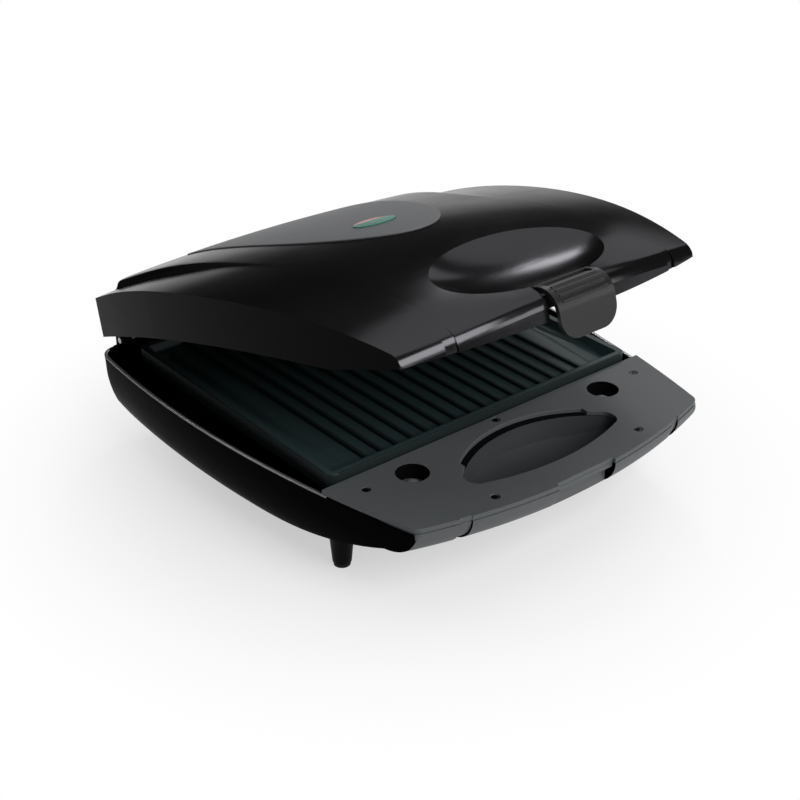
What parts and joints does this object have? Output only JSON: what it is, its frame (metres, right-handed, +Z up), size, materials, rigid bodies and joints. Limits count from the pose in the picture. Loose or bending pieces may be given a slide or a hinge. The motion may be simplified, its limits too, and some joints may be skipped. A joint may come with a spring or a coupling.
{
  "type": "sandwich maker",
  "caption": "Countertop sandwich maker with a boat-shaped base, a hinged crowned lid over ribbed plates, a snap latch at the front and a finger well in the deck.",
  "frame": {"origin": "centre of the part's footprint on the table, at the bottom of the feet", "axes": "+X to the right seen from the front, +Y from the latch to the hinge, +Z up"},
  "size_m": [0.28, 0.3184, 0.1727],
  "materials": {
    "base_plastic": "moulded black plastic, smooth gloss",
    "foot_plastic": "moulded black plastic, fine texture",
    "pad_rubber": "black rubber",
    "deck_plastic": "moulded dark grey plastic, satin",
    "well_plastic": "moulded dark grey plastic, satin",
    "screw_steel": "zinc-plated steel",
    "nonstick_plate": "cast aluminium with black non-stick coating",
    "element_steel": "steel sheath",
    "pan_steel": "bright sheet steel",
    "fuse_metal": "tinned metal can",
    "heat_plastic": "pale heat-resistant plastic",
    "gland_plastic": "moulded black plastic",
    "pin_steel": "plain steel pin",
    "lid_plastic": "moulded black plastic, gloss",
    "lid_panel_plastic": "moulded black plastic",
    "indicator_paint": "grey satin plastic",
    "green_lens": "tinted clear plastic",
    "red_lens": "tinted clear plastic",
    "lamp_glass": "clear glass",
    "latch_plastic": "moulded dark grey plastic, satin"
  },
  "bodies": {
    "base": {"base_shell": "base_plastic", "feet": "foot_plastic", "foot_pads": "pad_rubber", "front_deck": "deck_plastic", "finger_well": "well_plastic", "deck_screws": "screw_steel", "socket_buffers": "pad_rubber", "lower_plate": "nonstick_plate", "lower_element": "element_steel", "lower_element_clamps": "pan_steel", "lower_heat_pan": "pan_steel", "lower_plate_screws": "screw_steel", "lower_pan_screws": "screw_steel", "thermal_fuse": "fuse_metal", "fuse_clip": "pan_steel", "terminal_block": "heat_plastic", "cord_gland": "gland_plastic", "hinge_pins": "pin_steel"},
    "lid": {"lid_shell": "lid_plastic", "lid_front_panel": "lid_panel_plastic", "lid_panel_screws": "screw_steel", "upper_plate": "nonstick_plate", "upper_element": "element_steel", "upper_element_clamps": "pan_steel", "upper_heat_pan": "pan_steel", "upper_plate_screws": "screw_steel", "upper_pan_screws": "screw_steel", "thermostat": "heat_plastic", "indicator_panel": "indicator_paint", "green_lens": "green_lens", "red_lens": "red_lens", "indicator_lamps": "lamp_glass", "lamp_holder": "heat_plastic", "latch_pin": "pin_steel"},
    "latch": {"latch_clip": "latch_plastic"}
  },
  "joints": [
    {"name": "lid_hinge", "type": "hinge", "parent": "base", "child": "lid", "pos_m": [0, 0.14614, 0.063], "axis": [-1, 0, 0], "range_deg": [-18, 77]},
    {"name": "latch_pivot", "type": "hinge", "parent": "lid", "child": "latch", "pos_m": [0, -0.12926, 0.16678], "axis": [-1, 0, 0], "range_deg": [-14, 50]}
  ]
}
